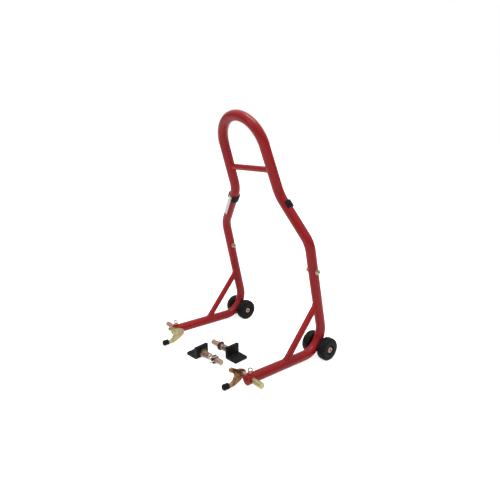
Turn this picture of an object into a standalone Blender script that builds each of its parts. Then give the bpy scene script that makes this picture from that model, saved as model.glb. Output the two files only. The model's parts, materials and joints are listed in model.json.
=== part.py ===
"""Motorcycle paddock stand: a red round-tube lifting stand on four rollers, with two spool hooks
that slide in the leg ends and two loose swingarm adapters standing on the floor between the legs.

Metres, +Z up, floor at z = 0. X runs across the stand, the hooks point to -Y, and the handle is
in the raised starting position. "right" is the +X side.
"""

import math

import bmesh
import bpy
from mathutils import Matrix, Vector

# Tubes
TUBE_R = 0.016
TUBE_BORE_R = 0.014
GUSSET_R = 0.010
GUSSET_BORE_R = 0.008
CROSS_BAR_R = 0.0095
CROSS_BAR_BORE_R = 0.0075
GAP = 0.0003

# Lower legs, in the planes x = +-LEG_X
LEG_X = 0.208
CORNER_Y = 0.187
CORNER_Z = 0.0217
ARM_RISE = 0.03
ARM_LENGTH = 0.3300
LEAN = math.radians(13.24)
LEG_BEND_R = 0.073
SEAM_S = 0.258
SPIGOT_TOP_S = 0.336
SPIGOT_R = 0.0132
SPIGOT_BORE_R = 0.0117
GUSSET_ARM_S = 0.1808
GUSSET_POST_S = 0.1771

# Handle frame, measured in its own plane: half width and distance up from the leg corner
KNEE_S = 0.3811
KNEE_R = 0.076
NECK_HALF = 0.1069
NECK_S = 0.5194
NECK_BACK = 0.002
NECK_R = 0.083
HOOP_TILT = math.radians(6.93)
HOOP_CENTRE = 0.1505
HOOP_R = 0.0967
CROSS_BAR_UP = 0.0811

# Rollers
WHEEL_R = 0.0375
WHEEL_HALF = 0.015
WHEEL_OFFSET = 0.0326
AXLE_Y = 0.1663
AXLE_R = 0.006
SLEEVE_R = 0.009
SLEEVE_HALF = 0.0155

# Spool hooks
PIN_Y = -0.1292
PIN_Z = 0.0312
PIN_R = 0.009
PIN_LENGTH = 0.0937
PLATE_THICK = 0.007
PLATE_AT = {"right": 0.0347, "left": 0.0272}
FOOT_U = 0.0608
FOOT_Z = 0.0100
FOOT_R = 0.0096
FOOT_TILT = math.radians(2)

# Joint bolts
BOLT_S = 0.2892
BOLT_R = 0.004
BOLT_FLATS = 0.0130
BOLT_TOP = {"right": 0.0235, "left": 0.0200}
BOLT_END = 0.0255
NUT_END = 0.0240
FLANGE_R = 0.0087

# Bumpers and label, on the slanted part of the handle frame
BUMPER_S = 0.4886
BUMPER_HALF = 0.0115
BUMPER_END = {"right": 275, "left": 329}
LABEL_LOW_S = 0.4250
LABEL_HIGH_S = 0.4925

# Loose adapters
ADAPTER_RIGHT = (0.0260, -0.0598, math.radians(184.3))
ADAPTER_LEFT = (-0.0279, -0.1373, math.radians(6.3))
BASE_LENGTH = 0.0495
BRACKET_HALF = 0.0253
BRACKET_HEIGHT = 0.041
PLATE_T = 0.005
PAD_T = 0.005
ADAPTER_PIN_Z = 0.017
ADAPTER_PIN_LENGTH = 0.0945
SPACER = (0.0096, 0.0412)
SPACER_R = 0.0104
CLIP_HOLES = (0.0520, 0.0600, 0.0680, 0.0760)
CLIP_WIRE_R = 0.0016

for item in list(bpy.data.objects):
    bpy.data.objects.remove(item)

PARTS = bpy.data.collections.new("paddock_stand")
CUTTERS = bpy.data.collections.new("cutters")
bpy.context.scene.collection.children.link(PARTS)
bpy.context.scene.collection.children.link(CUTTERS)
CUTTERS.hide_render = True


# ---------------------------------------------------------------- materials
def material(name, colour, roughness, metallic):
    made = bpy.data.materials.new(name)
    made.use_nodes = True
    shader = made.node_tree.nodes["Principled BSDF"]
    shader.inputs["Base Color"].default_value = (*colour, 1.0)
    shader.inputs["Roughness"].default_value = roughness
    shader.inputs["Metallic"].default_value = metallic
    made.diffuse_color = (*colour, 1.0)
    return made


FINISHES = {
    "red_coat": ((0.50, 0.025, 0.030), 0.35, 0.0),
    "yellow_zinc": ((0.72, 0.62, 0.36), 0.35, 1.0),
    "bright_zinc": ((0.70, 0.62, 0.55), 0.35, 1.0),
    "black_rubber": ((0.018, 0.018, 0.018), 0.75, 0.0),
    "black_coat": ((0.022, 0.022, 0.022), 0.55, 0.0),
    "dark_steel": ((0.16, 0.09, 0.07), 0.40, 1.0),
    "white_film": ((0.80, 0.80, 0.78), 0.45, 0.0),
}


# ---------------------------------------------------------------- shapes
def placed(mesh, name, coat, matrix, collection=None):
    """Puts a welded mesh in the scene with outward normals, its own material and smooth shading."""
    bm = bmesh.new()
    bm.from_mesh(mesh)
    bmesh.ops.remove_doubles(bm, verts=bm.verts, dist=1e-6)
    bmesh.ops.recalc_face_normals(bm, faces=bm.faces)
    bm.to_mesh(mesh)
    bm.free()
    mesh.name = name
    obj = bpy.data.objects.new(name, mesh)
    obj.matrix_world = matrix
    mesh.shade_smooth()
    mesh.set_sharp_from_angle(angle=math.radians(35))
    if coat:
        mesh.materials.append(material(name + "_" + coat, *FINISHES[coat]))
    if collection is CUTTERS:
        obj.hide_render = True
        obj.display_type = "WIRE"
    (collection or PARTS).objects.link(obj)
    return obj


def baked(guide, coat, matrix, collection=None):
    """Replaces a curve, or a mesh with modifiers, by the mesh it evaluates to."""
    name = guide.name
    PARTS.objects.link(guide)
    graph = bpy.context.evaluated_depsgraph_get()
    mesh = bpy.data.meshes.new_from_object(guide.evaluated_get(graph))
    bpy.data.objects.remove(guide)
    return placed(mesh, name, coat, matrix, collection)


def polyline(name, points, cyclic=False):
    curve = bpy.data.curves.new(name, "CURVE")
    spline = curve.splines.new("POLY")
    spline.points.add(len(points) - 1)
    for target, point in zip(spline.points, points):
        target.co = (*point, 1.0)
    spline.use_cyclic_u = cyclic
    return curve


def round_bar(name, coat, points, radius, sides=18, collection=None, matrix=Matrix.Identity(4)):
    """A round bar or wire along a path: a bevelled curve with filled caps."""
    curve = polyline(name, points)
    curve.dimensions = "3D"
    curve.bevel_depth = radius
    curve.bevel_resolution = sides // 2 - 2
    curve.use_fill_caps = True
    return baked(bpy.data.objects.new(name, curve), coat, matrix, collection)


def longer(points, more):
    """The path with both of its straight ends made longer."""
    first = points[0] + (points[0] - points[1]).normalized() * more
    last = points[-1] + (points[-1] - points[-2]).normalized() * more
    return [first] + points[1:-1] + [last]


def round_tube(name, coat, points, radius, bore, sides=18):
    made = round_bar(name, coat, points, radius, sides)
    boolean(made, round_bar("bore_" + name, None, longer(points, 0.003), bore, 12, CUTTERS))
    return made


def turned(name, coat, profile, matrix, segments=24, collection=None):
    """A (radius, height) section turned about the matrix's Z axis."""
    closed = profile + profile[:1]
    area = sum(a[0] * b[1] - b[0] * a[1] for a, b in zip(closed, closed[1:]))
    section = profile if area < 0 else profile[::-1]
    edges = [(i, i + 1) for i in range(len(section) - 1)]
    if max(section[0][0], section[-1][0]) > 0:
        edges.append((len(section) - 1, 0))
    mesh = bpy.data.meshes.new(name)
    mesh.from_pydata([(radius, 0, height) for radius, height in section], edges, [])
    guide = bpy.data.objects.new(name, mesh)
    turn = guide.modifiers.new("turn", "SCREW")
    turn.steps = segments
    turn.render_steps = segments
    turn.use_merge_vertices = True
    turn.merge_threshold = 0.00001
    return baked(guide, coat, matrix, collection)


def flat_plate(name, coat, outline, low, high, matrix, collection=None):
    """A flat (x, y) outline filled and extruded from z = low to z = high in the matrix's axes."""
    curve = polyline(name, [(x, y, 0) for x, y in outline], True)
    curve.dimensions = "2D"
    curve.fill_mode = "BOTH"
    curve.extrude = (high - low) / 2
    middle = matrix @ Matrix.Translation((0, 0, (low + high) / 2))
    return baked(bpy.data.objects.new(name, curve), coat, middle, collection)


def cylinder(name, coat, radius, low, high, matrix, segments=24, collection=None):
    """A cylinder, or a hexagon bar with six segments, along the matrix's Z from low to high."""
    bm = bmesh.new()
    depth = high - low
    bmesh.ops.create_cone(bm, cap_ends=True, segments=segments, radius1=radius, radius2=radius, depth=depth)
    mesh = bpy.data.meshes.new(name)
    bm.to_mesh(mesh)
    bm.free()
    return placed(mesh, name, coat, matrix @ Matrix.Translation((0, 0, (low + high) / 2)), collection)


def hexagon(name, coat, across_flats, low, high, matrix, turn=0):
    quarter = Matrix.Rotation(math.radians(turn - 90), 4, "Z")
    return cylinder(name, coat, across_flats / math.sqrt(3), low, high, matrix @ quarter, 6)


def bore(name, start, end, radius, segments=24):
    """A cylinder between two points, used as a cutter."""
    run = end - start
    matrix = Matrix.Translation(start) @ run.to_track_quat("Z", "Y").to_matrix().to_4x4()
    return cylinder(name, None, radius, 0, run.length, matrix, segments, CUTTERS)


def boolean(obj, tool, operation="DIFFERENCE"):
    step = obj.modifiers.new(operation.lower() + "_" + tool.name, "BOOLEAN")
    step.operation = operation
    step.solver = "EXACT"
    step.object = tool


def axes(origin, x_axis, y_axis, z_axis):
    columns = (x_axis, y_axis, z_axis, origin)
    return Matrix([[column[row] for column in columns] for row in range(3)] + [[0, 0, 0, 1]])


def along_x(x, y, z, flip=1):
    """Axes whose Z is the world's X (or -X), for pieces turned about a line across the stand."""
    return axes((x, y, z), (0, flip, 0), (0, 0, 1), (flip, 0, 0))


def carried(name, matrix, pieces):
    """An empty on the joint's axis that carries the pieces which move together."""
    holder = bpy.data.objects.new(name, None)
    holder.empty_display_size = 0.02
    holder.matrix_world = matrix
    PARTS.objects.link(holder)
    for piece in pieces:
        piece.parent = holder
        piece.matrix_parent_inverse = matrix.inverted()
    return holder


# ---------------------------------------------------------------- curves
def arc_points(centre, radius, start, end, count):
    step = (end - start) / count
    return [
        (centre[0] + radius * math.cos(start + step * i), centre[1] + radius * math.sin(start + step * i))
        for i in range(count + 1)
    ]


def bezier(a, b, c, d, count):
    found = []
    for i in range(count + 1):
        t = i / count
        s = 1 - t
        weights = (s * s * s, 3 * s * s * t, 3 * s * t * t, t * t * t)
        found.append(tuple(sum(w * p[k] for w, p in zip(weights, (a, b, c, d))) for k in (0, 1)))
    return found


def fillet(before, corner, after, radius, count):
    """The points of an arc that rounds the corner of two straight runs."""
    first = (before - corner).normalized()
    second = (after - corner).normalized()
    half = first.angle(second) / 2
    centre = corner + (first + second).normalized() * (radius / math.sin(half))
    start = corner + first * (radius / math.tan(half)) - centre
    end = corner + second * (radius / math.tan(half)) - centre
    sweep = start.angle(end)
    found = []
    for i in range(count + 1):
        t = i / count
        spread = (start * math.sin((1 - t) * sweep) + end * math.sin(t * sweep)) / math.sin(sweep)
        found.append(centre + spread)
    return found


# ---------------------------------------------------------------- places on the stand
def on_post(s, x=0.0, back=0.0):
    """A point in the plane of the posts: s up from the leg corner, x across, back behind it."""
    return Vector((
        x,
        CORNER_Y - s * math.sin(LEAN) + back * math.cos(LEAN),
        CORNER_Z + s * math.cos(LEAN) + back * math.sin(LEAN),
    ))


def on_arm(s, x=0.0):
    """A point on the axis of the floor arm, s forward of the leg corner."""
    return Vector((x, CORNER_Y - s, CORNER_Z + s * ARM_RISE))


def on_hoop(x, up):
    """A point in the tilted plane of the grab hoop, up from the neck."""
    return on_post(NECK_S, x, NECK_BACK) + hoop_axis() * up


def hoop_axis():
    lean = LEAN + HOOP_TILT
    return Vector((0, -math.sin(lean), math.cos(lean)))


def leg_path(side):
    x = side * LEG_X
    front = on_arm(ARM_LENGTH, x)
    corner = on_arm(0, x)
    post = on_post(SPIGOT_TOP_S, x)
    return [front] + fillet(front, corner, post, LEG_BEND_R, 8) + [on_post(0.20, x)]


def handle_half(side):
    """The handle's axis from the seam up to the start of the hoop, for one side."""
    start = on_post(SEAM_S, side * LEG_X)
    knee = on_post(KNEE_S, side * LEG_X)
    neck = on_post(NECK_S, side * NECK_HALF, NECK_BACK)
    reach = math.hypot(NECK_HALF, HOOP_CENTRE)
    turn = math.atan2(-HOOP_CENTRE, NECK_HALF) + math.acos(HOOP_R / reach)
    touch = on_hoop(side * HOOP_R * math.cos(turn), HOOP_CENTRE + HOOP_R * math.sin(turn))
    run = [start] + fillet(start, knee, neck, KNEE_R, 5) + fillet(knee, neck, touch, NECK_R, 5)
    return run, turn


def handle_path():
    right, turn = handle_half(1)
    left, _ = handle_half(-1)
    hoop = arc_points((0, HOOP_CENTRE), HOOP_R, turn, math.pi - turn, 14)
    return right + [on_hoop(x, up) for x, up in hoop] + left[::-1]


# ---------------------------------------------------------------- frame
handle_points = handle_path()
handle_frame = round_tube("handle_frame", "red_coat", handle_points, TUBE_R, TUBE_BORE_R)
handle_space = round_bar("handle_space", None, handle_points, TUBE_R + GAP, 36, CUTTERS)

bar_centre = NECK_S + CROSS_BAR_UP
bar_ends = [on_hoop(x, CROSS_BAR_UP) for x in (-0.100, 0.100)]
handle_cross_bar = round_tube("handle_cross_bar", "red_coat", bar_ends, CROSS_BAR_R, CROSS_BAR_BORE_R)
boolean(handle_cross_bar, handle_space)


def joint_tools(side, word):
    centre = on_post(BOLT_S, side * LEG_X)
    reach = Vector((0.03, 0, 0))
    return bore("bolt_hole_" + word, centre - reach, centre + reach, BOLT_R + GAP, 20)


def build_leg(side, word):
    """Floor arm and post in one bent tube, with a narrower spigot that fits inside the handle."""
    path = leg_path(side) + [on_post(SEAM_S - GAP, side * LEG_X)]
    leg = round_bar("leg_tube_" + word, "red_coat", path, TUBE_R)
    foot, step, top = [on_post(s, side * LEG_X) for s in (SEAM_S - 0.020, SEAM_S - 0.010, SPIGOT_TOP_S)]
    boolean(leg, bore("spigot_" + word, foot, top, SPIGOT_R, 18), "UNION")
    boolean(leg, round_bar("bore_leg_" + word, None, longer(path[:-1] + [step], 0.003)[:-1] + [step],
                           TUBE_BORE_R, 12, CUTTERS))
    boolean(leg, bore("bore_spigot_" + word, foot, top + (top - foot) * 0.1, SPIGOT_BORE_R, 12))
    pin = Vector((side * LEG_X, PIN_Y, PIN_Z))
    reach = Vector((0.03, 0, 0))
    boolean(leg, bore("pin_hole_" + word, pin - reach, pin + reach, PIN_R + GAP, 24))
    boolean(leg, bore("screw_hole_" + word, pin, pin + Vector((0, 0, 0.03)), 0.0043, 20))
    axle = Vector((side * LEG_X, AXLE_Y, WHEEL_R))
    boolean(leg, bore("sleeve_notch_" + word, axle - reach, axle + reach, SLEEVE_R + GAP, 24))
    bolt_hole = joint_tools(side, word)
    boolean(leg, bolt_hole)
    boolean(handle_frame, bolt_hole)
    return round_bar("leg_space_" + word, None, path, TUBE_R + GAP, 36, CUTTERS)


def build_gusset(side, word, space):
    ends = [on_arm(GUSSET_ARM_S, side * LEG_X), on_post(GUSSET_POST_S, side * LEG_X)]
    gusset = round_tube("gusset_" + word, "red_coat", ends, GUSSET_R, GUSSET_BORE_R)
    boolean(gusset, space)


def build_end_cap(side, word):
    """A thin disc that closes the front end of the leg tube, with a short spigot in the bore."""
    mouth = on_arm(ARM_LENGTH, side * LEG_X)
    forward = (mouth - on_arm(0, side * LEG_X)).normalized()
    across = Vector((1, 0, 0))
    matrix = axes(mouth, across, forward.cross(across), forward)
    profile = [(0, -0.0008), (SPIGOT_R, -0.0008), (SPIGOT_R, GAP), (TUBE_R, GAP),
               (TUBE_R, 0.0007), (0.0154, 0.0013), (0, 0.0013)]
    turned("leg_end_cap_" + word, "red_coat", profile, matrix, 18)


def build_joint_bolt(side, word):
    """Flanged hex bolt across the seam joint: head on the outer side, flanged nut on the inner."""
    centre = on_post(BOLT_S, side * LEG_X)
    matrix = along_x(*centre, flip=side)
    near = TUBE_R + GAP
    rim = FLANGE_R - 0.0005
    bolt = hexagon("joint_bolt_" + word, "yellow_zinc", BOLT_FLATS, near + 0.0008, BOLT_TOP[word], matrix)
    shank = [(0, -BOLT_END), (BOLT_R - 0.0008, -BOLT_END), (BOLT_R, 0.0008 - BOLT_END), (BOLT_R, near),
             (rim, near), (FLANGE_R, near + 0.0008), (rim, near + 0.0018), (0, near + 0.0018)]
    boolean(bolt, turned("bolt_shank_" + word, None, shank, matrix, 20, CUTTERS), "UNION")
    nut = hexagon("joint_nut_" + word, "yellow_zinc", BOLT_FLATS, -NUT_END, -near - 0.0008, matrix)
    flange = [(0, -near - 0.0018), (rim, -near - 0.0018), (FLANGE_R, -near - 0.0008), (rim, -near), (0, -near)]
    boolean(nut, turned("nut_flange_" + word, None, flange, matrix, 20, CUTTERS), "UNION")
    reach = Vector((0.04, 0, 0))
    boolean(nut, bore("nut_bore_" + word, centre - reach, centre + reach, BOLT_R + GAP, 20))


for side, word in ((1, "right"), (-1, "left")):
    leg_space = build_leg(side, word)
    build_gusset(side, word, leg_space)
    build_end_cap(side, word)
    build_joint_bolt(side, word)


# ---------------------------------------------------------------- rollers
def wheel_profile():
    """Section of the rubber: rounded shoulders, and a shallow dished hub in both faces."""
    shoulder = 0.0085
    upper = arc_points((WHEEL_R - shoulder, WHEEL_HALF - shoulder), shoulder, 0, math.pi / 2, 2)
    upper += [(0.0152, WHEEL_HALF), (0.0135, WHEEL_HALF - 0.0050), (0.0093, WHEEL_HALF - 0.0050)]
    lower = [(r, -h) for r, h in reversed(upper)]
    return lower + upper


def build_roller(side, place, word):
    """One roller on one end of the axle, its bush, and the thrust washer and cap that hold it."""
    reach = side * place
    x = side * LEG_X + reach * WHEEL_OFFSET
    matrix = along_x(x, AXLE_Y, WHEEL_R, reach)
    wheel = turned("wheel_" + word, "black_rubber", wheel_profile(), matrix, 24)
    bush = [(AXLE_R + GAP, -0.0153), (0.0090, -0.0153), (0.0090, 0.0100), (AXLE_R + GAP, 0.0100)]
    bushing = turned("wheel_bush_" + word, "bright_zinc", bush, matrix, 16)
    carried("axle_" + word, matrix, (wheel, bushing))
    base = along_x(side * LEG_X, AXLE_Y, WHEEL_R, reach)
    washer = [(AXLE_R + GAP, 0.0158), (0.0100, 0.0158), (0.0100, 0.0170), (AXLE_R + GAP, 0.0170)]
    turned("thrust_washer_" + word, "bright_zinc", washer, base, 16)
    hub = WHEEL_OFFSET + 0.0100
    cap = [(0, hub + 0.0033), (0.0040, hub + 0.0033), (0.0052, hub + 0.0043), (0.0080, hub + 0.0039),
           (0.0098, hub + 0.0022), (0.0098, hub + GAP), (AXLE_R + GAP, hub + GAP),
           (AXLE_R + GAP, hub + 0.0020), (0, hub + 0.0020)]
    turned("axle_cap_" + word, "bright_zinc", cap, base, 18)


for side, word in ((1, "right"), (-1, "left")):
    hub_face = WHEEL_OFFSET + 0.0100
    across = along_x(side * LEG_X, AXLE_Y, WHEEL_R, side)
    end = hub_face + 0.0017
    rod = [(0, -end), (AXLE_R, -end), (AXLE_R, end), (0, end)]
    turned("axle_rod_" + word, "bright_zinc", rod, across, 20)
    hole = AXLE_R + GAP
    sleeve = [(hole, -SLEEVE_HALF), (SLEEVE_R, -SLEEVE_HALF), (SLEEVE_R, SLEEVE_HALF), (hole, SLEEVE_HALF)]
    turned("axle_sleeve_" + word, "red_coat", sleeve, across, 24)
    build_roller(side, 1, word + "_outer")
    build_roller(side, -1, word + "_inner")


# ---------------------------------------------------------------- spool hooks
def hook_outline():
    """Seen from the side, u forward and v up from the pin: round boss, upper horn, long lower arm."""
    points = arc_points((0, 0), 0.0132, math.radians(100), math.radians(235), 10)
    points += bezier(points[-1], (0.0020, -0.0175), (0.0180, -0.0290), (0.0400, -0.0298), 7)[1:]
    points += [(0.0485, -0.0292), (0.0498, -0.0262), (0.0660, -0.0262), (0.0660, -0.0162), (0.0500, -0.0162)]
    points += bezier((0.0440, -0.0178), (0.0350, -0.0150), (0.0290, -0.0080), (0.0290, 0.0010), 6)
    points += bezier((0.0290, 0.0010), (0.0290, 0.0100), (0.0370, 0.0160), (0.0450, 0.0195), 5)[1:]
    points += [(0.0472, 0.0225), (0.0470, 0.0270), (0.0440, 0.0303), (0.0400, 0.0313), (0.0350, 0.0306)]
    points += bezier((0.0320, 0.0290), (0.0240, 0.0220), (0.0160, 0.0172), (0.0060, 0.0166), 6)
    return points


def build_hook(side, word):
    """Hook plate, the round pin that slides in the leg, the rubber foot and the eye screw."""
    origin = Vector((side * LEG_X, PIN_Y, PIN_Z))
    near = PLATE_AT[word]
    far = near + PLATE_THICK
    matrix = axes(origin, (0, -1, 0), (0, 0, 1), (-1, 0, 0))
    low, high = sorted((side * near, side * far))
    plate = flat_plate("hook_plate_" + word, "yellow_zinc", hook_outline(), low, high, matrix)
    reach = Vector((0.06, 0, 0))
    boolean(plate, bore("plate_bore_" + word, origin - reach, origin + reach, PIN_R + GAP, 24))
    small = origin + Vector((0, -0.0255, 0.0125))
    boolean(plate, bore("plate_hole_" + word, small - reach, small + reach, 0.0027, 14))

    across = along_x(*origin, flip=side)
    out = PIN_LENGTH - far
    section = [(0, -far), (PIN_R - 0.0010, -far), (PIN_R, 0.0010 - far), (PIN_R, out - 0.0012),
               (PIN_R - 0.0012, out), (0, out)]
    pin = turned("hook_pin_" + word, "yellow_zinc", section, across, 24)

    forward = Vector((0, -math.cos(FOOT_TILT), math.sin(FOOT_TILT)))
    middle = Vector((origin.x - side * (near + far) / 2, PIN_Y - FOOT_U, FOOT_Z))
    foot_matrix = axes(middle, (1, 0, 0), forward.cross(Vector((1, 0, 0))), forward)
    nose = arc_points((FOOT_R - 0.0060, 0.0040), 0.0060, 0, math.pi / 2, 4)
    foot = [(0, -0.0100), (FOOT_R - 0.0010, -0.0100), (FOOT_R, -0.0090)] + nose + [(0, 0.0100)]
    rubber = turned("hook_foot_" + word, "black_rubber", foot, foot_matrix, 20)
    half = PLATE_THICK / 2 + GAP
    slot = [(-half, -0.0058), (half, -0.0058), (half, 0.0058), (-half, 0.0058)]
    boolean(rubber, flat_plate("foot_slot_" + word, None, slot, -0.020, 0.0062, foot_matrix, CUTTERS))
    carried("slide_" + word, across, (plate, pin, rubber))

    seat = [(0.0043, 0), (0.0080, 0), (0.0080, 0.0190), (0.0070, 0.0197), (0.0043, 0.0197)]
    nut = turned("clamp_nut_" + word, "red_coat", seat, Matrix.Translation(origin), 20)
    boolean(nut, bpy.data.objects["leg_space_" + word])

    neck = [(0, PIN_R + GAP), (0.0030, PIN_R + GAP), (0.0040, PIN_R + 0.0013), (0.0040, 0.0212), (0, 0.0212)]
    screw = turned("eye_screw_" + word, "bright_zinc", neck, Matrix.Translation(origin), 16)
    turn = math.radians(50 if side > 0 else 20)
    face = Vector((math.cos(turn), math.sin(turn), 0))
    eye = origin + Vector((0, 0, 0.0280))
    bpy.ops.mesh.primitive_torus_add(
        major_radius=0.0058, minor_radius=0.0021, major_segments=16, minor_segments=8
    )
    torus = bpy.context.object.data
    bpy.data.objects.remove(bpy.context.object)
    ring_place = axes(eye, face, (0, 0, 1), face.cross(Vector((0, 0, 1))))
    boolean(screw, placed(torus, "eye_ring_" + word, None, ring_place, CUTTERS), "UNION")


for side, word in ((1, "right"), (-1, "left")):
    build_hook(side, word)


# ---------------------------------------------------------------- bumpers and label
def slant_frame(s, side):
    """Axes on the slanted run of the handle: Z up the tube, Y forward, X to the outside."""
    knee = on_post(KNEE_S, side * LEG_X)
    neck = on_post(NECK_S, side * NECK_HALF, NECK_BACK)
    up = (neck - knee).normalized()
    centre = knee + (neck - knee) * ((s - KNEE_S) / (NECK_S - KNEE_S))
    forward = Vector((0, -1, 0))
    forward = (forward - up * forward.dot(up)).normalized()
    outward = forward.cross(up) * 1.0
    if outward.x * side < 0:
        outward = -outward
    return centre, outward, forward, up


def curved_strip(name, coat, side, s_low, s_high, start, end, thick, count):
    """A sheet bent round the tube and thickened; angles run from straight forward to the outside."""
    low, outward, forward, _ = slant_frame(s_low, side)
    high = slant_frame(s_high, side)[0]
    half = (high - low).length / 2
    first = forward * math.cos(math.radians(start)) + outward * math.sin(math.radians(start))
    turn_axis = forward.cross(outward)
    radius = TUBE_R + GAP + thick / 2
    mesh = bpy.data.meshes.new(name)
    mesh.from_pydata([(radius, 0, half), (radius, 0, -half)], [(0, 1)], [])
    guide = bpy.data.objects.new(name, mesh)
    turn = guide.modifiers.new("turn", "SCREW")
    turn.angle = math.radians(end - start)
    turn.steps = count
    turn.render_steps = count
    thicken = guide.modifiers.new("thicken", "SOLIDIFY")
    thicken.thickness = thick
    thicken.offset = 0
    matrix = axes((low + high) / 2, first, turn_axis.cross(first), turn_axis)
    return baked(guide, coat, matrix)


for side, word in ((1, "right"), (-1, "left")):
    half = BUMPER_HALF * math.cos(math.radians(36.3))
    ends = (BUMPER_S - half, BUMPER_S + half)
    curved_strip("floor_bumper_" + word, "black_rubber", side, *ends, 46, BUMPER_END[word], 0.0041, 18)
curved_strip("blank_label_left", "white_film", -1, LABEL_LOW_S, LABEL_HIGH_S, -27, 42, 0.0005, 8)


# ---------------------------------------------------------------- loose adapters
def build_adapter(word, place, washer_at, clip_at, clip_turn):
    """L bracket on the floor, its rubber lining, and a round pin with nut, spacer, washer and clip."""
    base = Matrix.Translation((place[0], place[1], ADAPTER_PIN_Z)) @ Matrix.Rotation(place[2], 4, "Z")
    side_on = base @ axes((0, BRACKET_HALF, -ADAPTER_PIN_Z), (1, 0, 0), (0, 0, 1), (0, -1, 0))
    width = 2 * BRACKET_HALF
    corner = 0.0045
    bend = arc_points((-corner, corner), corner, -math.pi / 2, 0, 4)
    steel = [(-BASE_LENGTH, 0)] + bend
    steel += [(0, BRACKET_HEIGHT), (-PLATE_T, BRACKET_HEIGHT), (-PLATE_T, PLATE_T), (-BASE_LENGTH, PLATE_T)]
    bracket = flat_plate("adapter_bracket_" + word, "black_coat", steel, 0, width, side_on)
    near = PLATE_T + GAP
    far = near + PAD_T
    lining = [(-BASE_LENGTH, near), (-near, near), (-near, BRACKET_HEIGHT), (-far, BRACKET_HEIGHT)]
    lining += [(-far, far), (-BASE_LENGTH, far)]
    pad = flat_plate("adapter_pad_" + word, "black_rubber", lining, 0, width, side_on)

    out = base @ axes((0, 0, 0), (0, 1, 0), (0, 0, 1), (1, 0, 0))
    end = ADAPTER_PIN_LENGTH
    pin = [(0, GAP), (PIN_R, GAP), (PIN_R, end - 0.0012), (PIN_R - 0.0012, end), (0, end)]
    stud = turned("adapter_pin_" + word, "bright_zinc", pin, out, 24)
    rise = (base @ clip_turn).to_3x3() @ Vector((0, 0, 0.02))
    for i, distance in enumerate(CLIP_HOLES):
        hole = base @ Vector((distance, 0, 0))
        boolean(stud, bore("clip_hole_%d_%s" % (i, word), hole - rise, hole + rise, 0.0023, 12))
    nut = hexagon("adapter_nut_" + word, "yellow_zinc", 0.0240, GAP, SPACER[0] - GAP, out, 30)
    start = base @ Vector((-0.01, 0, 0))
    boolean(nut, bore("adapter_nut_bore_" + word, start, base @ Vector((0.05, 0, 0)), PIN_R + GAP, 24))
    inner = PIN_R + GAP
    spacer = [(inner, SPACER[0]), (SPACER_R - 0.0003, SPACER[0]), (SPACER_R, SPACER[0] + 0.0003)]
    spacer += [(SPACER_R, SPACER[1] - 0.0003), (SPACER_R - 0.0003, SPACER[1]), (inner, SPACER[1])]
    sleeve = turned("adapter_spacer_" + word, "bright_zinc", spacer, out, 20)
    disc = [(inner, 0), (0.0144, 0), (0.0150, 0.0006), (0.0150, 0.0034), (0.0144, 0.0040), (inner, 0.0040)]
    washer_place = out @ Matrix.Translation((0, 0, washer_at))
    washer = turned("adapter_washer_" + word, "dark_steel", disc, washer_place, 24)
    clip = build_clip("adapter_clip_" + word, base @ Matrix.Translation((clip_at, 0, 0)) @ clip_turn)
    carried("adapter_" + word, base, (bracket, pad, stud, nut, sleeve, washer, clip))


def build_clip(name, matrix):
    """Spring hairpin: the straight leg goes through the pin, the other passes beside it."""
    straight = [(0.0, -0.0125), (0.0, 0.0), (0.0, 0.0125)]
    loop = arc_points((0.0078, 0.0212), 0.0090, math.radians(210), math.radians(-35), 12)
    beside = bezier(loop[-1], (0.0120, 0.0110), (0.0114, 0.0060), (0.0114, 0.0000), 4)[1:]
    flare = [(0.0117, -0.0050), (0.0128, -0.0080), (0.0146, -0.0105)]
    points = [Vector((0, y, z)) for y, z in straight + loop + beside + flare]
    return round_bar(name, "bright_zinc", points, CLIP_WIRE_R, 8, None, matrix)


upright = axes((0, 0, 0), (-1, 0, 0), (0, -1, 0), (0, 0, 1))
sideways = axes((0, 0, 0), (1, 0, 0), (0, 0, 1), (0, -1, 0))
build_adapter("right", ADAPTER_RIGHT, 0.0500, CLIP_HOLES[1], upright)
build_adapter("left", ADAPTER_LEFT, 0.0600, CLIP_HOLES[2], sideways)
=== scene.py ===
"""Looks of the motorcycle paddock stand: smooth tubes, welds, threads, rubber and plating.

Metres, +Z up, floor at z = 0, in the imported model's frame. "right" is the +X side, and the hooks point to -Y.
"""

import json
import math

import bmesh
import bpy
from mathutils import Matrix, Vector, noise
from mathutils.bvhtree import BVHTree


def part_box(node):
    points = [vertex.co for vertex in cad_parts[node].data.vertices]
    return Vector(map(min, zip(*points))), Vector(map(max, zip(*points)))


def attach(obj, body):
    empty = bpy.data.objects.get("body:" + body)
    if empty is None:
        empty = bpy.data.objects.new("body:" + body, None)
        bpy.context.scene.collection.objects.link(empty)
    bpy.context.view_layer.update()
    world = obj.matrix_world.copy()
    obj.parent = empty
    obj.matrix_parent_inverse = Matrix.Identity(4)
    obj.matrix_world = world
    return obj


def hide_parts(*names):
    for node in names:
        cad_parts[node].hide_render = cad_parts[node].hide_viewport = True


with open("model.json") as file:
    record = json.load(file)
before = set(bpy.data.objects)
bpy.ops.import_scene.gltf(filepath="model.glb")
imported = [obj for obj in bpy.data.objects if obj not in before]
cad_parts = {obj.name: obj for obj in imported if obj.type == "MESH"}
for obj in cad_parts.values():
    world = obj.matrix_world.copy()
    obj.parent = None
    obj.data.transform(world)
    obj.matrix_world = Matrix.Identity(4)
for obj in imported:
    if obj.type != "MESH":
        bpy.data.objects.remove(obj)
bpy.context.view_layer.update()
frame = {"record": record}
BODY_OF = {node: body for body, members in frame["record"]["behaviour"]["bodies"].items() for node in members}

# Tubes
TUBE_R = 0.016
TUBE_BORE_R = 0.014
GUSSET_R = 0.010
CROSS_BAR_R = 0.0095
GAP = 0.0003

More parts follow.
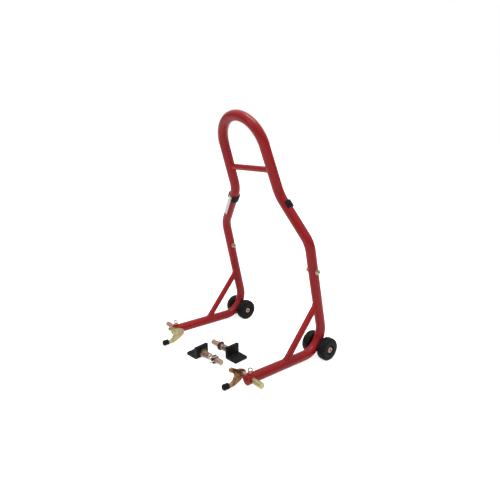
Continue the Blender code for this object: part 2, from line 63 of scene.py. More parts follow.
# Lower legs, in the planes x = +-LEG_X
LEG_X = 0.208
CORNER_Y = 0.187
CORNER_Z = 0.0217
ARM_RISE = 0.03
ARM_LENGTH = 0.3300
LEAN = math.radians(13.24)
LEG_BEND_R = 0.073
SEAM_S = 0.258
SPIGOT_TOP_S = 0.336
SPIGOT_R = 0.0132
GUSSET_ARM_S = 0.1808
GUSSET_POST_S = 0.1771

# Handle frame, measured in its own plane: half width and distance up from the leg corner
KNEE_S = 0.3811
KNEE_R = 0.076
NECK_HALF = 0.1069
NECK_S = 0.5194
NECK_BACK = 0.002
NECK_R = 0.083
HOOP_TILT = math.radians(6.93)
HOOP_CENTRE = 0.1505
HOOP_R = 0.0967
CROSS_BAR_UP = 0.0811

# Rollers
WHEEL_R = 0.0375
WHEEL_HALF = 0.015
WHEEL_OFFSET = 0.0326
HUB_DEPTH = 0.0050
AXLE_R = 0.006
SLEEVE_R = 0.009
SLEEVE_HALF = 0.0155

# Spool hooks
PIN_R = 0.009
PIN_LENGTH = 0.0937
PLATE_THICK = 0.007
PLATE_AT = {"right": 0.0347, "left": 0.0272}
PLATE_HOLE = (0.0255, 0.0125, 0.0027)
FOOT_U = 0.0608
FOOT_Z = 0.0100
FOOT_R = 0.0096
FOOT_TILT = math.radians(2)
EYE_UP = 0.0280
EYE_TURN = {"right": 50, "left": 20}

# Joint bolts
BOLT_S = 0.2892
BOLT_R = 0.004
BOLT_FLATS = 0.0130
BOLT_TOP = {"right": 0.0235, "left": 0.0200}
BOLT_END = 0.0255
NUT_END = 0.0240
FLANGE_R = 0.0087
SOCKET_R = 0.0033
THREAD_PITCH = 0.00125

# Bumpers and label, on the slanted part of the handle frame
BUMPER_S = 0.4886
BUMPER_HALF = 0.0115
BUMPER_START = 46
BUMPER_END = {"right": 275, "left": 329}
BUMPER_THICK = 0.0041
SLANT = math.radians(36.3)
LABEL_SPAN = (0.4250, 0.4925)
LABEL_ANGLES = (-27, 42)

# Loose adapters
ADAPTER_PIN_Z = 0.017
ADAPTERS = {"right": (0.0260, -0.0598, math.radians(184.3)), "left": (-0.0279, -0.1373, math.radians(6.3))}
BASE_LENGTH = 0.0495
BRACKET_HALF = 0.0253
BRACKET_HEIGHT = 0.041
PLATE_T = 0.005
PAD_T = 0.005
ADAPTER_PIN_LENGTH = 0.0945
NUT_FLATS = 0.0240
SPACER = (0.0096, 0.0412)
SPACER_R = 0.0104
SPACER_ROOT_R = 0.0095
SPACER_PITCH = 0.0062
WASHER_R = 0.0150
WASHER_T = 0.0040
WASHER_AT = {"right": 0.0500, "left": 0.0600}
CLIP_HOLES = (0.0520, 0.0600, 0.0680, 0.0760)
CLIP_HOLE_R = 0.0023
CLIP_WIRE_R = 0.0016

# Mesh fineness: steps round a tube, and along each of its bends
ROUND = 56
BEND_STEPS = 36

# Light tent strengths, the floor's own glow, and the camera
TENT_HORIZON = 0.22
TENT_ZENITH = 2.20
FLOOR_GLOW = 0.30
LENS = 30.645
CAMERA_AT = (1.0376, -0.8187, 0.7074)
CAMERA_BACK = (0.7423, -0.6160, 0.2637)


# ---------------------------------------------------------------- finishes
class Finish:
    """A procedural material. Each method adds nodes and returns the socket that holds the result."""

    def __init__(self, name, metallic=0.0, specular=0.5, coat=0.0, coat_roughness=0.1):
        self.material = bpy.data.materials.new(name)
        self.material.use_nodes = True
        self.tree = self.material.node_tree
        self.shader = self.tree.nodes["Principled BSDF"]
        self.set("Metallic", metallic)
        self.set("Specular IOR Level", specular)
        self.set("Coat Weight", coat)
        self.set("Coat Roughness", coat_roughness)
        self.place = self.add("ShaderNodeTexCoord", {}).outputs["Object"]

    def add(self, kind, inputs, **settings):
        node = self.tree.nodes.new(kind)
        for key, value in settings.items():
            setattr(node, key, value)
        for key, value in inputs.items():
            if isinstance(value, bpy.types.NodeSocket):
                self.tree.links.new(value, node.inputs[key])
            else:
                node.inputs[key].default_value = value
        return node

    def set(self, socket, value):
        if isinstance(value, bpy.types.NodeSocket):
            self.tree.links.new(value, self.shader.inputs[socket])
        else:
            self.shader.inputs[socket].default_value = value

    def noise(self, scale, detail=3.0, stretch=(1, 1, 1)):
        place = self.place
        if tuple(stretch) != (1, 1, 1):
            place = self.add("ShaderNodeMapping", {"Vector": place, "Scale": stretch}).outputs[0]
        inputs = {"Vector": place, "Scale": scale, "Detail": detail, "Roughness": 0.55}
        return self.add("ShaderNodeTexNoise", inputs).outputs[0]

    def spread(self, value, low, high, to_low, to_high):
        inputs = {"Value": value, "From Min": low, "From Max": high, "To Min": to_low, "To Max": to_high}
        return self.add("ShaderNodeMapRange", inputs).outputs[0]

    def mix(self, share, first, second):
        inputs = {0: share, 6: first, 7: second}
        return self.add("ShaderNodeMix", inputs, data_type="RGBA").outputs[2]

    def times(self, first, second):
        return self.add("ShaderNodeMath", {0: first, 1: second}, operation="MULTIPLY").outputs[0]

    def ramp(self, value, stops):
        node = self.add("ShaderNodeValToRGB", {"Fac": value})
        node.color_ramp.elements[0].position = stops[0][0]
        node.color_ramp.elements[0].color = (*stops[0][1], 1)
        node.color_ramp.elements[1].position = stops[-1][0]
        node.color_ramp.elements[1].color = (*stops[-1][1], 1)
        for position, colour in stops[1:-1]:
            node.color_ramp.elements.new(position).color = (*colour, 1)
        return node.outputs[0]

    def edges(self, width, strength=1.0):
        """1 on edges, 0 on faces: where the rounded normal leaves the real one."""
        rounded = self.add("ShaderNodeBevel", {"Radius": width}, samples=4).outputs[0]
        normal = self.add("ShaderNodeNewGeometry", {}).outputs["Normal"]
        inputs = {0: rounded, 1: normal}
        same = self.add("ShaderNodeVectorMath", inputs, operation="DOT_PRODUCT").outputs["Value"]
        return self.spread(same, 0.995, 0.90, 0.0, strength)

    def bump(self, heights):
        """Chains bump nodes, one for each (height socket, distance in metres, strength)."""
        normal = None
        for height, distance, strength in heights:
            inputs = {"Height": height, "Distance": distance, "Strength": strength}
            if normal is not None:
                inputs["Normal"] = normal
            normal = self.add("ShaderNodeBump", inputs).outputs[0]
        self.set("Normal", normal)


def red_coat():
    """Powder coat: two close reds, orange peel, duller handled patches and thin paint on edges."""
    made = Finish("red_coat", specular=0.10, coat=0.10, coat_roughness=0.10)
    cloud = made.spread(made.noise(7, 4), 0.35, 0.65, 0.0, 1.0)
    base = made.mix(cloud, (0.176, 0.0040, 0.0054, 1), (0.140, 0.0030, 0.0040, 1))
    speck = made.spread(made.noise(420, 2), 0.62, 0.75, 0.0, 0.35)
    base = made.mix(speck, base, (0.13, 0.003, 0.004, 1))
    wear = made.times(made.edges(0.0012), made.spread(made.noise(160, 4), 0.42, 0.62, 0.0, 0.75))
    base = made.mix(wear, base, (0.36, 0.06, 0.055, 1))
    made.set("Base Color", base)
    made.set("Roughness", made.spread(made.noise(23, 5), 0.3, 0.7, 0.24, 0.40))
    peel = made.noise(520, 2)
    wave = made.noise(90, 2)
    made.bump([(wave, 0.00035, 0.18), (peel, 0.00006, 0.35)])
    return made.material


def plating(name, stops, low, high, lines):
    """Chromate over zinc: patches of slightly different hue, fine machining lines and rubbed bright edges."""
    made = Finish(name, metallic=1.0)
    hue = made.ramp(made.noise(38, 4), stops)
    stain = made.spread(made.noise(210, 5), 0.56, 0.74, 0.0, 0.45)
    hue = made.mix(stain, hue, (*[c * 0.45 for c in stops[0][1]], 1))
    bright = made.times(made.edges(0.0008), made.spread(made.noise(300, 3), 0.35, 0.6, 0.2, 0.9))
    hue = made.mix(bright, hue, (0.86, 0.80, 0.66, 1))
    made.set("Base Color", hue)
    made.set("Roughness", made.spread(made.noise(60, 5), 0.3, 0.7, low, high))
    marks = made.noise(lines, 2, (0.06, 0.06, 1))
    grain = made.noise(900, 2)
    made.bump([(marks, 0.00008, 0.35), (grain, 0.00004, 0.3)])
    return made.material


def black_rubber():
    """Moulded rubber: matt, faintly mottled, dusty on the high edges."""
    made = Finish("black_rubber", specular=0.07)
    cloud = made.spread(made.noise(30, 4), 0.35, 0.65, 0, 1)
    base = made.mix(cloud, (0.0022, 0.0024, 0.0024, 1), (0.0052, 0.0054, 0.0054, 1))
    dust = made.times(made.edges(0.0016), made.spread(made.noise(120, 5), 0.4, 0.65, 0.0, 0.55))
    made.set("Base Color", made.mix(dust, base, (0.035, 0.033, 0.030, 1)))
    made.set("Roughness", made.spread(made.noise(55, 5), 0.3, 0.7, 0.42, 0.62))
    made.bump([(made.noise(70, 3), 0.0003, 0.2), (made.noise(800, 3), 0.00008, 0.5)])
    return made.material


def black_coat():
    """Satin black paint on bent steel, with paler rubbed corners."""
    made = Finish("black_coat", specular=0.10)
    cloud = made.spread(made.noise(26, 4), 0.35, 0.65, 0, 1)
    base = made.mix(cloud, (0.0028, 0.0028, 0.0030, 1), (0.0062, 0.0062, 0.0066, 1))
    wear = made.times(made.edges(0.0012), made.spread(made.noise(140, 4), 0.42, 0.62, 0.0, 0.6))
    made.set("Base Color", made.mix(wear, base, (0.06, 0.06, 0.06, 1)))
    made.set("Roughness", made.spread(made.noise(40, 5), 0.3, 0.7, 0.30, 0.45))
    made.bump([(made.noise(110, 2), 0.0003, 0.18), (made.noise(620, 2), 0.00006, 0.4)])
    return made.material


def white_film():
    """Blank film: off-white, with shallow creases and slightly paler edges."""
    made = Finish("white_film", specular=0.4)
    cloud = made.spread(made.noise(60, 4), 0.35, 0.65, 0, 1)
    base = made.mix(cloud, (0.40, 0.385, 0.38, 1), (0.31, 0.29, 0.29, 1))
    made.set("Base Color", made.mix(made.edges(0.0008, 0.6), base, (0.42, 0.40, 0.39, 1)))
    made.set("Roughness", made.spread(made.noise(90, 3), 0.3, 0.7, 0.30, 0.45))
    made.bump([(made.noise(120, 2), 0.0003, 0.3)])
    return made.material


YELLOW_STOPS = [
    (0.34, (0.26, 0.28, 0.12)), (0.46, (0.31, 0.28, 0.13)),
    (0.56, (0.29, 0.23, 0.13)), (0.70, (0.31, 0.19, 0.16)),
]
# Painted shade and a painted red reflection of the leg: darker, browner plating for the right hook plate, which
# faces the leg.
PAINTED_SHADE_STOPS = [
    (0.34, (0.15, 0.10, 0.035)), (0.46, (0.26, 0.15, 0.065)),
    (0.56, (0.12, 0.045, 0.022)), (0.70, (0.24, 0.18, 0.08)),
]
BRIGHT_STOPS = [(0.34, (0.34, 0.18, 0.16)), (0.50, (0.30, 0.21, 0.16)), (0.66, (0.24, 0.18, 0.12))]
EYE_STOPS = [(0.34, (0.18, 0.15, 0.08)), (0.50, (0.24, 0.20, 0.12)), (0.66, (0.14, 0.10, 0.07))]
# Dark steel, mostly standing for painted shade: washers, spacer grooves, bolt socket and cap dimple; also the
# bare bolt end.
DARK_STEEL_AND_SHADE_STOPS = [(0.35, (0.045, 0.020, 0.016)), (0.55, (0.075, 0.040, 0.028)), (0.68, (0.030, 0.014, 0.012))]
WIRE_STOPS = [(0.35, (0.46, 0.52, 0.45)), (0.55, (0.56, 0.60, 0.54)), (0.68, (0.42, 0.46, 0.40))]

PIN_FINISH = {"right": "yellow_zinc", "left": "bright_zinc"}
# The right hook plate's plating holds painted shade and a painted red reflection of the leg.
PLATE_FINISH = {"right": "painted_shade_zinc", "left": "yellow_zinc"}

MATERIALS = {
    "red_coat": red_coat(),
    "yellow_zinc": plating("yellow_zinc", YELLOW_STOPS, 0.24, 0.42, 1500),
    "painted_shade_zinc": plating("painted_shade_zinc", PAINTED_SHADE_STOPS, 0.22, 0.38, 1500),
    "eye_zinc": plating("eye_zinc", EYE_STOPS, 0.20, 0.36, 1500),
    "bright_zinc": plating("bright_zinc", BRIGHT_STOPS, 0.26, 0.44, 1500),
    "dark_steel": plating("dark_steel", DARK_STEEL_AND_SHADE_STOPS, 0.28, 0.46, 1500),
    "spring_wire": plating("spring_wire", WIRE_STOPS, 0.22, 0.36, 400),
    "black_rubber": black_rubber(),
    "black_coat": black_coat(),
    "white_film": white_film(),
}


# ---------------------------------------------------------------- shapes
def shaded(obj, angle=35):
    """Merged points, outward faces, and smooth shading between sharp edges."""
    bm = bmesh.new()
    bm.from_mesh(obj.data)
    bmesh.ops.remove_doubles(bm, verts=bm.verts, dist=1e-6)
    bmesh.ops.recalc_face_normals(bm, faces=bm.faces)
    bm.to_mesh(obj.data)
    bm.free()
    obj.data.shade_smooth()
    obj.data.set_sharp_from_angle(angle=math.radians(angle))
    return obj


def baked(guide, matrix=Matrix.Identity(4)):
    """Replaces a curve, or a mesh with modifiers, by the mesh it evaluates to, placed by the matrix."""
    name = guide.name
    bpy.context.scene.collection.objects.link(guide)
    graph = bpy.context.evaluated_depsgraph_get()
    mesh = bpy.data.meshes.new_from_object(guide.evaluated_get(graph))
    bpy.data.objects.remove(guide)
    mesh.name = name
    mesh.materials.clear()
    obj = bpy.data.objects.new(name, mesh)
    obj.matrix_world = matrix
    bpy.context.scene.collection.objects.link(obj)
    return shaded(obj)


def applied(obj, angle=35):
    """Turns the object's modifiers into its mesh."""
    graph = bpy.context.evaluated_depsgraph_get()
    mesh = bpy.data.meshes.new_from_object(obj.evaluated_get(graph))
    obj.modifiers.clear()
    mesh.name = obj.name
    obj.data = mesh
    return shaded(obj, angle)


def carve(obj, tool, operation="DIFFERENCE"):
    step = obj.modifiers.new("carve", "BOOLEAN")
    step.operation = operation
    step.solver = "EXACT"
    step.object = tool
    applied(obj)
    bpy.data.objects.remove(tool)
    return obj


def softened(obj, width, segments=3, angle=35):
    """Rounds the sharp edges."""
    step = obj.modifiers.new("soften", "BEVEL")
    step.width = width
    step.segments = segments
    step.limit_method = "ANGLE"
    step.angle_limit = math.radians(angle)
    step.harden_normals = False
    return applied(obj)


def polyline(name, points, cyclic=False):
    curve = bpy.data.curves.new(name, "CURVE")
    spline = curve.splines.new("POLY")
    spline.points.add(len(points) - 1)
    for target, point in zip(spline.points, points):
        target.co = (*point, 1.0)
    spline.use_cyclic_u = cyclic
    return curve


def bar(name, points, radius, sides=ROUND, matrix=Matrix.Identity(4), widths=None):
    """A round bar along a path. With widths, a closed ring whose thickness follows them."""
    curve = polyline(name, points, widths is not None)
    curve.dimensions = "3D"
    curve.bevel_depth = radius
    curve.bevel_resolution = sides // 2 - 2
    curve.use_fill_caps = True
    for point, width in zip(curve.splines[0].points, widths or []):
        point.radius = width
    return baked(bpy.data.objects.new(name, curve), matrix)


def longer(points, more):
    first = points[0] + (points[0] - points[1]).normalized() * more
    last = points[-1] + (points[-1] - points[-2]).normalized() * more
    return [first] + points[1:-1] + [last]


def turned(name, profile, matrix, segments=64):
    """A (radius, height) section turned about the matrix's Z axis."""
    edges = [(i, i + 1) for i in range(len(profile) - 1)]
    if max(profile[0][0], profile[-1][0]) > 0:
        edges.append((len(profile) - 1, 0))
    mesh = bpy.data.meshes.new(name)
    mesh.from_pydata([(radius, 0, height) for radius, height in profile], edges, [])
    guide = bpy.data.objects.new(name, mesh)
    turn = guide.modifiers.new("turn", "SCREW")
    turn.steps = segments
    turn.render_steps = segments
    turn.use_merge_vertices = True
    turn.merge_threshold = 0.00001
    return baked(guide, matrix)


def wound(outline, clockwise):
    """The outline run clockwise or anticlockwise, so that holes run against the outer outline."""
    area = sum(a[0] * b[1] - b[0] * a[1] for a, b in zip(outline, outline[1:] + outline[:1]))
    return list(outline) if (area < 0) == clockwise else list(reversed(outline))


def flat_plate(name, outlines, low, high, matrix, rounding):
    """Flat (x, y) outlines, the first filled and the others holes, extruded with round edges."""
    outlines = [wound(list(outline), place > 0) for place, outline in enumerate(outlines)]
    curve = polyline(name, [(x, y, 0) for x, y in outlines[0]], True)
    for outline in outlines[1:]:
        spline = curve.splines.new("POLY")
        spline.points.add(len(outline) - 1)
        for target, (x, y) in zip(spline.points, outline):
            target.co = (x, y, 0, 1)
        spline.use_cyclic_u = True
    curve.dimensions = "2D"
    curve.fill_mode = "BOTH"
    curve.extrude = (high - low) / 2 - rounding
    curve.bevel_depth = rounding
    curve.bevel_resolution = 3
    curve.offset = -rounding
    return baked(bpy.data.objects.new(name, curve), matrix @ Matrix.Translation((0, 0, (low + high) / 2)))


def rod(name, start, end, radius, segments=48):
    """A plain cylinder between two points, used to carve."""
    run = end - start
    matrix = Matrix.Translation(start) @ run.to_track_quat("Z", "Y").to_matrix().to_4x4()
    return turned(name, [(0, 0), (radius, 0), (radius, run.length), (0, run.length)], matrix, segments)


def hexagon(name, across_flats, low, high, matrix, turn=0):
    """A hexagon bar with both ends chamfered by a cone, as a nut or a bolt head has."""
    corner = across_flats / math.sqrt(3)
    quarter = Matrix.Rotation(math.radians(turn - 90), 4, "Z")
    outline = [(corner * math.cos(i * math.pi / 3), corner * math.sin(i * math.pi / 3)) for i in range(6)]
    made = flat_plate(name, [outline], low, high, matrix @ quarter, 0.0002)
    flat = across_flats / 2
    fall = (corner - flat) * 0.6 + 0.0002
    barrel = [(0, low), (flat * 0.97, low), (corner + 0.0002, low + fall), (corner + 0.0002, high - fall),
              (flat * 0.97, high), (0, high)]
    return carve(made, turned(name + "_barrel", barrel, matrix, 72), "INTERSECT")


def axes(origin, x_axis, y_axis, z_axis):
    columns = (x_axis, y_axis, z_axis, origin)
    return Matrix([[column[row] for column in columns] for row in range(3)] + [[0, 0, 0, 1]])


def along_x(x, y, z, flip=1):
    """Axes whose Z is the world's X (or -X), for pieces turned about a line across the stand."""
    return axes((x, y, z), (0, flip, 0), (0, 0, 1), (flip, 0, 0))


def joined(name, objects):
    """One object that holds several meshes."""
    bm = bmesh.new()
    for obj in objects:
        obj.data.transform(obj.matrix_world)
        bm.from_mesh(obj.data)
        bpy.data.objects.remove(obj)
    mesh = bpy.data.meshes.new(name)
    bm.to_mesh(mesh)
    bm.free()
    made = bpy.data.objects.new(name, mesh)
    bpy.context.scene.collection.objects.link(made)
    return shaded(made)


# ---------------------------------------------------------------- curves
def arc_points(centre, radius, start, end, count):
    step = (end - start) / count
    return [
        (centre[0] + radius * math.cos(start + step * i), centre[1] + radius * math.sin(start + step * i))
        for i in range(count + 1)
    ]


def circle(centre, radius, count=48):
    return arc_points(centre, radius, 0, 2 * math.pi, count)[:-1]


def bezier(a, b, c, d, count):
    found = []
    for i in range(count + 1):
        t = i / count
        s = 1 - t
        weights = (s * s * s, 3 * s * s * t, 3 * s * t * t, t * t * t)
        found.append(tuple(sum(w * p[k] for w, p in zip(weights, (a, b, c, d))) for k in (0, 1)))
    return found


def fillet(before, corner, after, radius, count=BEND_STEPS):
    """The points of an arc that rounds the corner of two straight runs."""
    first = (before - corner).normalized()
    second = (after - corner).normalized()
    half = first.angle(second) / 2
    centre = corner + (first + second).normalized() * (radius / math.sin(half))
    start = corner + first * (radius / math.tan(half)) - centre
    end = corner + second * (radius / math.tan(half)) - centre
    sweep = start.angle(end)
    found = []
    for i in range(count + 1):
        t = i / count
        spread = (start * math.sin((1 - t) * sweep) + end * math.sin(t * sweep)) / math.sin(sweep)
        found.append(centre + spread)
    return found


def rounded_outline(corners, steps=5):
    """A closed outline of (x, y, radius) corners with each corner rounded."""
    points = []
    for i, (x, y, radius) in enumerate(corners):
        if radius == 0:
            points.append((x, y))
            continue
        before = Vector((*corners[i - 1][:2], 0))
        after = Vector((*corners[(i + 1) % len(corners)][:2], 0))
        points += [(p.x, p.y) for p in fillet(before, Vector((x, y, 0)), after, radius, steps)]
    return points


def threads(radius, low, high):
    """A section's outer side with a thread's ridges, from low to high."""
    points = []
    height = low
    while height + THREAD_PITCH < high:
        points += [(radius - 0.0007, height), (radius, height + THREAD_PITCH * 0.42),
                   (radius, height + THREAD_PITCH * 0.58)]
        height += THREAD_PITCH
    return points + [(radius - 0.0007, height)]


# ---------------------------------------------------------------- places on the stand
def on_post(s, x=0.0, back=0.0):
    """A point in the plane of the posts: s up from the leg corner, x across, back behind it."""
    return Vector((
        x,
        CORNER_Y - s * math.sin(LEAN) + back * math.cos(LEAN),
        CORNER_Z + s * math.cos(LEAN) + back * math.sin(LEAN),
    ))


def on_arm(s, x=0.0):
    """A point on the axis of the floor arm, s forward of the leg corner."""
    return Vector((x, CORNER_Y - s, CORNER_Z + s * ARM_RISE))


def hoop_axis():
    lean = LEAN + HOOP_TILT
    return Vector((0, -math.sin(lean), math.cos(lean)))


def on_hoop(x, up):
    """A point in the tilted plane of the grab hoop, up from the neck."""
    return on_post(NECK_S, x, NECK_BACK) + hoop_axis() * up


def middle(node):
    low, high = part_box(node)
    return (low + high) / 2


def handle_half(side):
    """The handle's axis from the seam up to the start of the hoop, for one side."""
    start = on_post(SEAM_S, side * LEG_X)
    knee = on_post(KNEE_S, side * LEG_X)
    neck = on_post(NECK_S, side * NECK_HALF, NECK_BACK)
    reach = math.hypot(NECK_HALF, HOOP_CENTRE)
    turn = math.atan2(-HOOP_CENTRE, NECK_HALF) + math.acos(HOOP_R / reach)
    touch = on_hoop(side * HOOP_R * math.cos(turn), HOOP_CENTRE + HOOP_R * math.sin(turn))
    return [start] + fillet(start, knee, neck, KNEE_R) + fillet(knee, neck, touch, NECK_R), turn


def handle_path():
    right, turn = handle_half(1)
    left, _ = handle_half(-1)
    hoop = arc_points((0, HOOP_CENTRE), HOOP_R, turn, math.pi - turn, 3 * BEND_STEPS)
    return right + [on_hoop(x, up) for x, up in hoop] + left[::-1]


# ---------------------------------------------------------------- pieces
def stands_for(obj, finish, slot, *nodes):
    """Gives the piece its finish and puts it in the place of the model's nodes."""
    obj.data.materials.clear()
    obj.data.materials.append(MATERIALS[finish])
    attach(obj, BODY_OF[nodes[0]])
    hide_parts(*nodes)
    return obj


def darkened(obj, place, radius, low, high):
    """Dark steel, mostly as painted shade, on the faces within a radius of the place's Z axis, between two
    heights.
    """
    if obj.data.materials.find(MATERIALS["dark_steel"].name) < 0:
        obj.data.materials.append(MATERIALS["dark_steel"])
    local = place.inverted() @ obj.matrix_world
    for face in obj.data.polygons:
        spots = [local @ obj.data.vertices[i].co for i in face.vertices]
        if all(math.hypot(p.x, p.y) <= radius and low <= p.z <= high for p in spots):
            face.material_index = len(obj.data.materials) - 1


def extra(obj, finish, body):
    """A piece that the model has no node for, such as a weld."""
    obj.data.materials.clear()
    obj.data.materials.append(MATERIALS[finish])
    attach(obj, body)
    return obj


def tree_of(obj):
    points = [obj.matrix_world @ v.co for v in obj.data.vertices]
    return BVHTree.FromPolygons(points, [tuple(p.vertices) for p in obj.data.polygons])


def weld(name, onto, start, direction, radius, size, seed):
    """A rippled bead where a round bar from start, along direction, meets the surface in the tree."""
    direction = direction.normalized()
    across = direction.orthogonal().normalized()
    other = direction.cross(across)
    steps = 120
    points, widths = [], []
    for i in range(steps):
        angle = 2 * math.pi * i / steps
        out = across * math.cos(angle) + other * math.sin(angle)
        hit = onto.ray_cast(start + out * radius, direction)[0]
        if hit is None:
            hit = onto.find_nearest(start + out * radius)[0]
        ripple = abs(math.sin(angle * 9 + seed)) ** 0.6
        uneven = noise.noise(hit * 160 + Vector((seed, 0, 0)))
        points.append(hit - direction * size * 0.15 + out * size * 0.12)
        widths.append(0.80 + 0.22 * ripple + 0.22 * uneven)
    return bar(name, points, size, 14, widths=widths)


def weld_ring(name, matrix, radius, size, seed, share=1.0):
    """A rippled bead round a turned piece, in the plane z = 0 of the matrix."""
    steps = 96
    points, widths = [], []
    for i in range(steps):
        angle = 2 * math.pi * i / steps
        points.append(matrix @ Vector((radius * math.cos(angle), radius * math.sin(angle), 0)))
        uneven = noise.noise(points[-1] * 160 + Vector((seed, 0, 0)))
        widths.append(share * (0.82 + 0.2 * abs(math.sin(angle * 8 + seed)) ** 0.6 + 0.22 * uneven))
    return bar(name, points, size, 12, widths=widths)


def build_handle():
    path = handle_path()
    handle = bar("grab_handle", path, TUBE_R)
    surface = tree_of(handle)
    carve(handle, bar("bore", longer(path, 0.003), TUBE_BORE_R, 40))
    stands_for(handle, "red_coat", "red_coat", "handle_frame")
    cross = bar("cross_bar", [on_hoop(x, CROSS_BAR_UP) for x in (-0.0955, 0.0955)], CROSS_BAR_R, 48)
    stands_for(cross, "red_coat", "red_coat", "handle_cross_bar")
    centre = on_hoop(0, CROSS_BAR_UP)
    beads = [
        weld("bead", surface, centre, Vector((side, 0, 0)), CROSS_BAR_R, 0.0019, side + 2)
        for side in (1, -1)
    ]
    extra(joined("cross_bar_welds", beads), "red_coat", "stand_frame")


def build_leg(side, word):
    """Floor arm and post in one bent tube with real holes, the gusset, the front cap and the clamp nut."""
    x = side * LEG_X
    corner = on_arm(0, x)
    path = [on_arm(ARM_LENGTH, x)]
    path += fillet(path[0], corner, on_post(SPIGOT_TOP_S, x), LEG_BEND_R, 2 * BEND_STEPS)
    path += [on_post(SEAM_S - 0.0005, x)]
    leg = bar("leg_" + word, path, TUBE_R)
    surface = tree_of(leg)
    carve(leg, rod("spigot", on_post(SEAM_S - 0.020, x), on_post(SPIGOT_TOP_S, x), SPIGOT_R), "UNION")
    pin = middle("eye_screw_" + word)
    pin.z = middle("hook_pin_" + word).z
    reach = Vector((0.03, 0, 0))
    carve(leg, rod("pin_hole", pin - reach, pin + reach, PIN_R + GAP))
    carve(leg, rod("screw_hole", pin, pin + Vector((0, 0, 0.03)), 0.0043))
    stands_for(leg, "red_coat", "red_coat", "leg_tube_" + word)

    low = on_arm(GUSSET_ARM_S, x)
    high = on_post(GUSSET_POST_S, x)
    run = (high - low).normalized()
    gusset = bar("gusset_bar_" + word, [low + run * 0.004, high - run * 0.004], GUSSET_R, 48)
    stands_for(gusset, "red_coat", "red_coat", "gusset_" + word)
    centre = (low + high) / 2
    beads = [
        weld("bead", surface, centre, -run, GUSSET_R, 0.0020, side + 3),
        weld("bead", surface, centre, run, GUSSET_R, 0.0020, side + 5),
    ]
    axle = middle("axle_sleeve_" + word)
    for way in (1, -1):
        start = axle + Vector((way * 0.05, 0, 0))
        beads.append(weld("bead", surface, start, Vector((-way, 0, 0)), SLEEVE_R, 0.0015, side + way + 7))
    above = pin + Vector((0, 0, 0.05))
    beads.append(weld("bead", surface, above, Vector((0, 0, -1)), 0.0080, 0.0015, side + 11))
    mouth = on_arm(ARM_LENGTH, x)
    forward = (mouth - corner).normalized()
    sideways = Vector((1, 0, 0))
    place = axes(mouth, sideways, forward.cross(sideways), forward)
    extra(joined("leg_welds_" + word, beads), "red_coat", "stand_frame")

    edge = arc_points((TUBE_R - 0.0009, 0.0004), 0.0009, 0, math.pi / 2, 6)
    profile = [(0, -0.0008), (SPIGOT_R, -0.0008), (SPIGOT_R, GAP), (TUBE_R, GAP)] + edge + [(0, 0.0013)]
    stands_for(turned("leg_cap_" + word, profile, place), "red_coat", "red_coat", "leg_end_cap_" + word)

    top = 0.0197
    seat = [(0.0043, 0.0130), (0.0080, 0.0130), (0.0080, top - 0.0012)]
    seat += arc_points((0.0070, top - 0.0010), 0.0010, 0, math.pi / 2, 5)
    seat += [(0.0052, top), (0.0043, top - 0.0008)]
    stands_for(turned("clamp_boss_" + word, seat, Matrix.Translation(pin)), "red_coat", "red_coat",
               "clamp_nut_" + word)


def build_joint_bolt(side, word):
    """Flanged hex bolt across the seam joint: head on the outer side, flanged nut on the inner."""
    place = along_x(*on_post(BOLT_S, side * LEG_X), flip=side)
    near = TUBE_R + GAP
    top = BOLT_TOP[word]
    rim = FLANGE_R - 0.0006
    head = hexagon("flange_bolt_" + word, BOLT_FLATS, near + 0.0008, top, place, 12)
    flange = [(0, near), (rim, near), (FLANGE_R, near + 0.0005), (FLANGE_R - 0.0001, near + 0.0011),
              (FLANGE_R - 0.0010, near + 0.0018), (0, near + 0.0020)]
    carve(head, turned("flange", flange, place), "UNION")
    shank = [(0, -BOLT_END), (BOLT_R - 0.0008, -BOLT_END)]
    shank += threads(BOLT_R - 0.0001, 0.0004 - BOLT_END, -0.0150) + [(BOLT_R - 0.0004, near), (0, near)]
    carve(head, turned("shank", shank, place, 40), "UNION")
    deep = min(0.0030, (top - near) * 0.6)
    socket = [(0, top - deep), (SOCKET_R, top - deep), (SOCKET_R, top + 0.001), (0, top + 0.001)]
    carve(head, turned("socket", socket, place, 6))
    stands_for(head, "yellow_zinc", "yellow_zinc", "joint_bolt_" + word)
    # Painted shade: the hex socket's recess is coloured dark.
    darkened(head, place, SOCKET_R + 0.0001, top - deep - 0.0001, top - 0.0002)
    darkened(head, place, BOLT_R + 0.0001, -BOLT_END - 0.001, -NUT_END)

    nut = hexagon("flange_nut_" + word, BOLT_FLATS, -NUT_END, -near - 0.0008, place, 20)
    flange = [(0, -near - 0.0020), (FLANGE_R - 0.0010, -near - 0.0018), (FLANGE_R - 0.0001, -near - 0.0011),
              (FLANGE_R, -near - 0.0005), (rim, -near), (0, -near)]
    carve(nut, turned("flange", flange, place), "UNION")
    wide = BOLT_R + 0.0008
    close = BOLT_R + 0.0001
    bore = [(0, -0.0300), (wide, -0.0300), (wide, 0.0001 - NUT_END), (close, 0.0009 - NUT_END)]
    bore += [(close, 0.0020 - near), (0, 0.0020 - near)]
    carve(nut, turned("bore", bore, place, 40))
    stands_for(nut, "yellow_zinc", "yellow_zinc", "joint_nut_" + word)


def wheel_profile():
    """Section of the rubber: round shoulders, a fine mould line, a hub ring and a dished hub."""
    shoulder = 0.0085
    upper = [(WHEEL_R - 0.00012, 0.0005)]
    upper += arc_points((WHEEL_R - shoulder, WHEEL_HALF - shoulder), shoulder - 0.0001, 0, math.pi / 2, 14)
    upper += [(0.0236, WHEEL_HALF), (0.0230, WHEEL_HALF - 0.0006), (0.0222, WHEEL_HALF - 0.0006),
              (0.0216, WHEEL_HALF - 0.0001), (0.0166, WHEEL_HALF)]
    upper += arc_points((0.0160, WHEEL_HALF - 0.0008), 0.0008, math.pi / 2, math.radians(160), 4)
    dish = WHEEL_HALF - HUB_DEPTH
    upper += [(0.0137, dish + 0.0006), (0.0131, dish), (0.0093, dish)]
    lower = [(r, -h) for r, h in reversed(upper)]
    return lower + [(WHEEL_R, -0.0002), (WHEEL_R, 0.0002)] + upper


